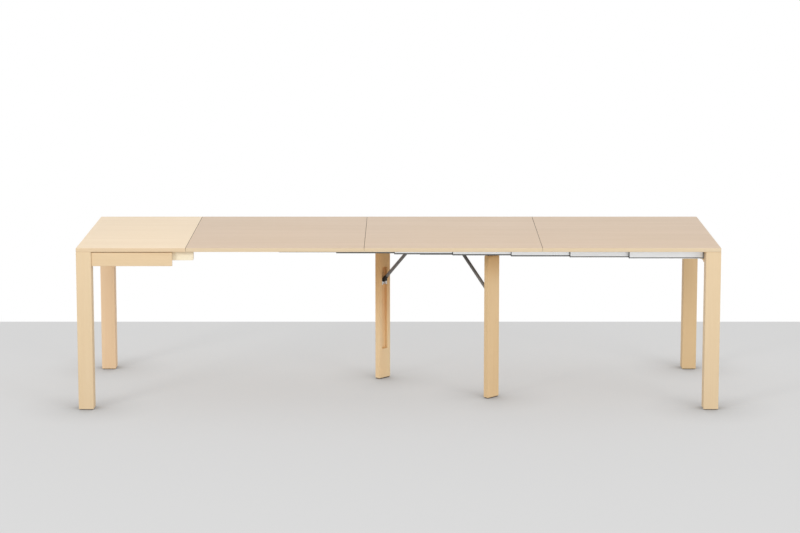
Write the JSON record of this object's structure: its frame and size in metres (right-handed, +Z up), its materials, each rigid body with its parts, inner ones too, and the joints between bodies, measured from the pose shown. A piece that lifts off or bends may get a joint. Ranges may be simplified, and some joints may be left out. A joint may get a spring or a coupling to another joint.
{
  "type": "extendable console table",
  "caption": "Extendable console table at full length, with loose leaves, telescoping rail packs and a turning support of folding legs under the middle.",
  "frame": {"origin": "centre of the footprint on the floor, with the table at full length", "axes": "+X along the length, from the console end to the sliding end frame; the front edge faces -Y; +Z up"},
  "size_m": [3, 0.9, 0.77],
  "materials": {
    "top_wood": "satin",
    "leaf_wood": "satin",
    "frame_wood": "satin",
    "bearer_lacquer": "satin",
    "rail_aluminium": "satin",
    "dark_steel": "satin",
    "zinc_steel": "satin",
    "black_plastic": "matte"
  },
  "bodies": {
    "console": {"console_top": "top_wood", "front_left_leg": "frame_wood", "rear_left_leg": "frame_wood", "front_apron": "frame_wood", "rear_apron": "frame_wood", "left_crossbar": "frame_wood", "left_glides": "black_plastic", "left_bolts": "zinc_steel", "front_rail_10": "rail_aluminium", "rear_rail_10": "rail_aluminium", "bearer_straps": "zinc_steel"},
    "end_frame": {"front_right_leg": "frame_wood", "rear_right_leg": "frame_wood", "right_crossbar": "frame_wood", "right_glides": "black_plastic", "right_bolts": "zinc_steel", "front_rail_1": "rail_aluminium", "rear_rail_1": "rail_aluminium"},
    "stage_2": {"front_rail_2": "rail_aluminium", "rear_rail_2": "rail_aluminium"},
    "stage_3": {"front_rail_3": "rail_aluminium", "rear_rail_3": "rail_aluminium"},
    "stage_4": {"front_rail_4": "rail_aluminium", "rear_rail_4": "rail_aluminium"},
    "stage_5": {"front_rail_5": "rail_aluminium", "rear_rail_5": "rail_aluminium", "carrier_plate": "dark_steel"},
    "stage_6": {"front_rail_6": "rail_aluminium", "rear_rail_6": "rail_aluminium"},
    "stage_7": {"front_rail_7": "rail_aluminium", "rear_rail_7": "rail_aluminium"},
    "stage_8": {"front_rail_8": "rail_aluminium", "rear_rail_8": "rail_aluminium"},
    "stage_9": {"front_rail_9": "rail_aluminium", "rear_rail_9": "rail_aluminium"},
    "support_beam": {"swivel_plate": "dark_steel", "swivel_bolt": "zinc_steel", "support_pins": "zinc_steel"},
    "rear_support_leg": {"rear_fold_leg": "frame_wood", "rear_foot": "black_plastic"},
    "rear_strut_arm": {"rear_strut": "dark_steel", "rear_sleeve": "black_plastic"},
    "rear_slider": {"rear_shoe": "zinc_steel"},
    "front_support_leg": {"front_fold_leg": "frame_wood", "front_foot": "black_plastic"},
    "front_strut_arm": {"front_strut": "dark_steel", "front_sleeve": "black_plastic"},
    "front_slider": {"front_shoe": "zinc_steel"},
    "loose_leaf_1": {"leaf_1": "leaf_wood"},
    "loose_leaf_2": {"leaf_2": "leaf_wood"},
    "loose_leaf_3": {"leaf_3": "leaf_wood"},
    "front_support_bearer": {"front_bearer": "bearer_lacquer"},
    "rear_support_bearer": {"rear_bearer": "bearer_lacquer"}
  },
  "joints": [
    {"name": "frame_slide", "type": "slide", "parent": "stage_2", "child": "end_frame", "axis": [1, 0, 0], "range_m": [-0.275, 0]},
    {"name": "stage_2_slide", "type": "slide", "parent": "stage_3", "child": "stage_2", "axis": [1, 0, 0], "range_m": [-0.275, 0]},
    {"name": "stage_3_slide", "type": "slide", "parent": "stage_4", "child": "stage_3", "axis": [1, 0, 0], "range_m": [-0.275, 0]},
    {"name": "stage_4_slide", "type": "slide", "parent": "stage_5", "child": "stage_4", "axis": [1, 0, 0], "range_m": [-0.275, 0]},
    {"name": "stage_5_slide", "type": "slide", "parent": "stage_6", "child": "stage_5", "axis": [1, 0, 0], "range_m": [-0.275, 0]},
    {"name": "stage_6_slide", "type": "slide", "parent": "stage_7", "child": "stage_6", "axis": [1, 0, 0], "range_m": [-0.275, 0]},
    {"name": "stage_7_slide", "type": "slide", "parent": "stage_8", "child": "stage_7", "axis": [1, 0, 0], "range_m": [-0.275, 0]},
    {"name": "stage_8_slide", "type": "slide", "parent": "stage_9", "child": "stage_8", "axis": [1, 0, 0], "range_m": [-0.275, 0]},
    {"name": "stage_9_slide", "type": "slide", "parent": "console", "child": "stage_9", "axis": [1, 0, 0], "range_m": [-0.275, 0]},
    {"name": "front_bearer_slide", "type": "slide", "parent": "console", "child": "front_support_bearer", "axis": [1, 0, 0], "range_m": [-0.0921, 0]},
    {"name": "rear_bearer_slide", "type": "slide", "parent": "console", "child": "rear_support_bearer", "axis": [1, 0, 0], "range_m": [-0.0921, 0]},
    {"name": "support_swivel", "type": "hinge", "parent": "stage_5", "child": "support_beam", "pos_m": [0.182, 0, 0.7], "axis": [0, 0, 1], "range_deg": [-45, 0]},
    {"name": "rear_leg_fold", "type": "hinge", "parent": "support_beam", "child": "rear_support_leg", "pos_m": [-0.07981, 0.20064, 0.6826], "axis": [0.7071, 0.7071, 0], "range_deg": [-90, 0]},
    {"name": "rear_strut_pivot", "type": "hinge", "parent": "support_beam", "child": "rear_strut_arm", "pos_m": [0.06374, 0.0571, 0.6876], "axis": [0.7071, 0.7071, 0], "range_deg": [-135.8, 0]},
    {"name": "rear_shoe_slide", "type": "slide", "parent": "rear_support_leg", "child": "rear_slider", "axis": [0, 0, 1], "range_m": [-0.2926, 0]},
    {"name": "front_leg_fold", "type": "hinge", "parent": "support_beam", "child": "front_support_leg", "pos_m": [0.44381, -0.20064, 0.6826], "axis": [-0.7071, -0.7071, 0], "range_deg": [-90, 0]},
    {"name": "front_strut_pivot", "type": "hinge", "parent": "support_beam", "child": "front_strut_arm", "pos_m": [0.30026, -0.0571, 0.6876], "axis": [-0.7071, -0.7071, 0], "range_deg": [-135.8, 0]},
    {"name": "front_shoe_slide", "type": "slide", "parent": "front_support_leg", "child": "front_slider", "axis": [0, 0, 1], "range_m": [-0.2926, 0]},
    {"name": "leaf_1_lift", "type": "slide", "parent": "console", "child": "loose_leaf_1", "axis": [0, 0, -1], "range_m": [-0.35, 0]},
    {"name": "leaf_2_lift", "type": "slide", "parent": "console", "child": "loose_leaf_2", "axis": [0, 0, -1], "range_m": [-0.35, 0]},
    {"name": "leaf_3_lift", "type": "slide", "parent": "console", "child": "loose_leaf_3", "axis": [0, 0, -1], "range_m": [-0.35, 0]}
  ],
  "couplings": [
    {"joint": "stage_2_slide", "follows": "frame_slide", "ratio": 1},
    {"joint": "stage_3_slide", "follows": "frame_slide", "ratio": 1},
    {"joint": "stage_4_slide", "follows": "frame_slide", "ratio": 1},
    {"joint": "stage_5_slide", "follows": "frame_slide", "ratio": 1},
    {"joint": "stage_6_slide", "follows": "frame_slide", "ratio": 1},
    {"joint": "stage_7_slide", "follows": "frame_slide", "ratio": 1},
    {"joint": "stage_8_slide", "follows": "frame_slide", "ratio": 1},
    {"joint": "stage_9_slide", "follows": "frame_slide", "ratio": 1},
    {"joint": "front_bearer_slide", "follows": "frame_slide", "ratio": 0.33454},
    {"joint": "rear_bearer_slide", "follows": "frame_slide", "ratio": 0.33454},
    {"joint": "rear_strut_pivot", "follows": "rear_leg_fold", "ratio": 1.5081},
    {"joint": "rear_shoe_slide", "follows": "rear_leg_fold", "m_per_rad": 0.18558},
    {"joint": "front_strut_pivot", "follows": "front_leg_fold", "ratio": 1.5081},
    {"joint": "front_shoe_slide", "follows": "front_leg_fold", "m_per_rad": 0.18558}
  ]
}
